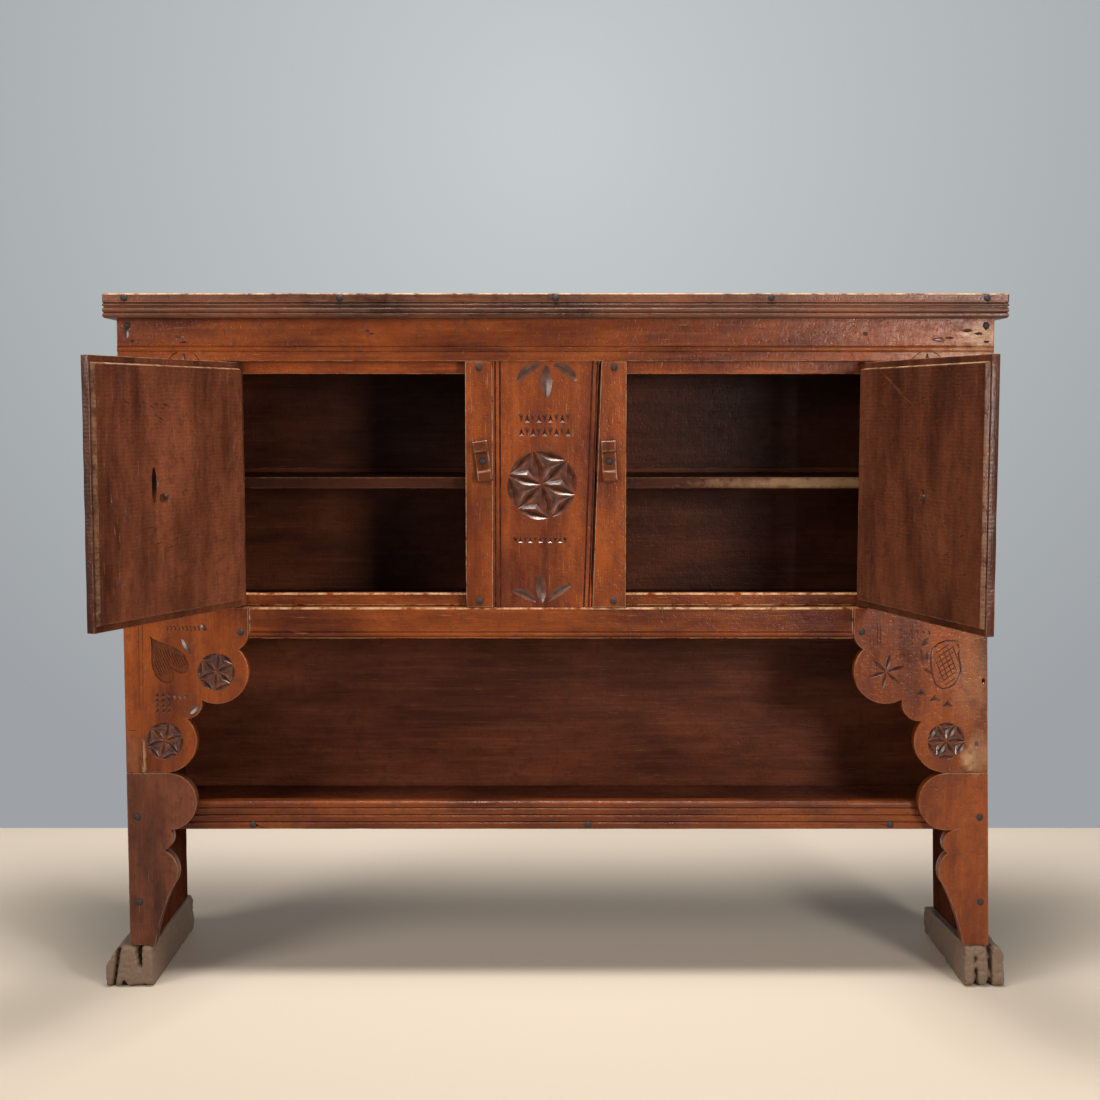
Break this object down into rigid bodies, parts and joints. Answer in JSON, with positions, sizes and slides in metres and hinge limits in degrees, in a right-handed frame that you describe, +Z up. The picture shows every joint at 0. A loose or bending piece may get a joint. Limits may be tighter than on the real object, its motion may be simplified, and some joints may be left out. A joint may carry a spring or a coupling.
{
  "type": "cupboard",
  "caption": "Low carved cupboard on sled feet, with pivoted doors held by turn buttons beside a carved centre post, over an open shelf between scalloped front boards.",
  "frame": {"origin": "on the floor, at the middle of the box that holds the cupboard with its doors open as pictured", "axes": "+X to the viewer's right along the front, +Y from the front to the back, +Z up"},
  "size_m": [1.513, 0.686, 1.157],
  "materials": {
    "front_wood": "waxed reddish brown softwood, worn at the edges",
    "door_wood": "waxed dark brown plank",
    "inner_wood": "dull dark brown planks",
    "weathered_foot": "weathered, cracked grey brown",
    "forged_iron": "dark forged iron"
  },
  "bodies": {
    "carcass": {"bottom_rail": "front_wood", "centre_panel": "front_wood", "centre_stile_nails": "forged_iron", "cupboard_floor": "inner_wood", "frieze_nails": "forged_iron", "frieze_rail": "front_wood", "left_button_nail": "forged_iron", "left_carved_stile": "front_wood", "left_centre_stile": "front_wood", "left_foot": "weathered_foot", "left_gable": "inner_wood", "left_leg_board": "front_wood", "leg_nails": "forged_iron", "lip_nails": "forged_iron", "lower_back_board": "inner_wood", "lower_door_stop": "front_wood", "lower_shelf": "inner_wood", "lower_shelf_lip": "front_wood", "middle_back_board": "inner_wood", "middle_shelf": "inner_wood", "moulding_nails": "forged_iron", "right_button_nail": "forged_iron", "right_carved_stile": "front_wood", "right_centre_stile": "front_wood", "right_foot": "weathered_foot", "right_gable": "inner_wood", "right_leg_board": "front_wood", "stile_nails": "forged_iron", "top_board": "front_wood", "top_front_moulding": "front_wood", "top_left_moulding": "front_wood", "top_right_moulding": "front_wood", "upper_back_board": "inner_wood", "upper_door_stop": "front_wood"},
    "left_door": {"left_door_knob": "forged_iron", "left_door_lower_pin": "forged_iron", "left_door_panel": "door_wood", "left_door_upper_pin": "forged_iron"},
    "right_door": {"right_door_knob": "forged_iron", "right_door_lower_pin": "forged_iron", "right_door_panel": "door_wood", "right_door_upper_pin": "forged_iron"},
    "left_button": {"left_turn_button": "front_wood"},
    "right_button": {"right_turn_button": "front_wood"}
  },
  "joints": [
    {"name": "left_door_swing", "type": "hinge", "parent": "carcass", "child": "left_door", "pos_m": [-0.525, 0.03653, 0.643], "axis": [0, 0, 1], "range_deg": [-9.6, 113.4]},
    {"name": "right_door_swing", "type": "hinge", "parent": "carcass", "child": "right_door", "pos_m": [0.511, 0.03653, 0.643], "axis": [0, 0, -1], "range_deg": [-17, 106]},
    {"name": "left_button_turn", "type": "hinge", "parent": "carcass", "child": "left_button", "pos_m": [-0.1195, 0.02903, 0.885], "axis": [0, 1, 0], "range_deg": [-82, 98]},
    {"name": "right_button_turn", "type": "hinge", "parent": "carcass", "child": "right_button", "pos_m": [0.088, 0.02903, 0.885], "axis": [0, 1, 0], "range_deg": [-87, 93]}
  ]
}
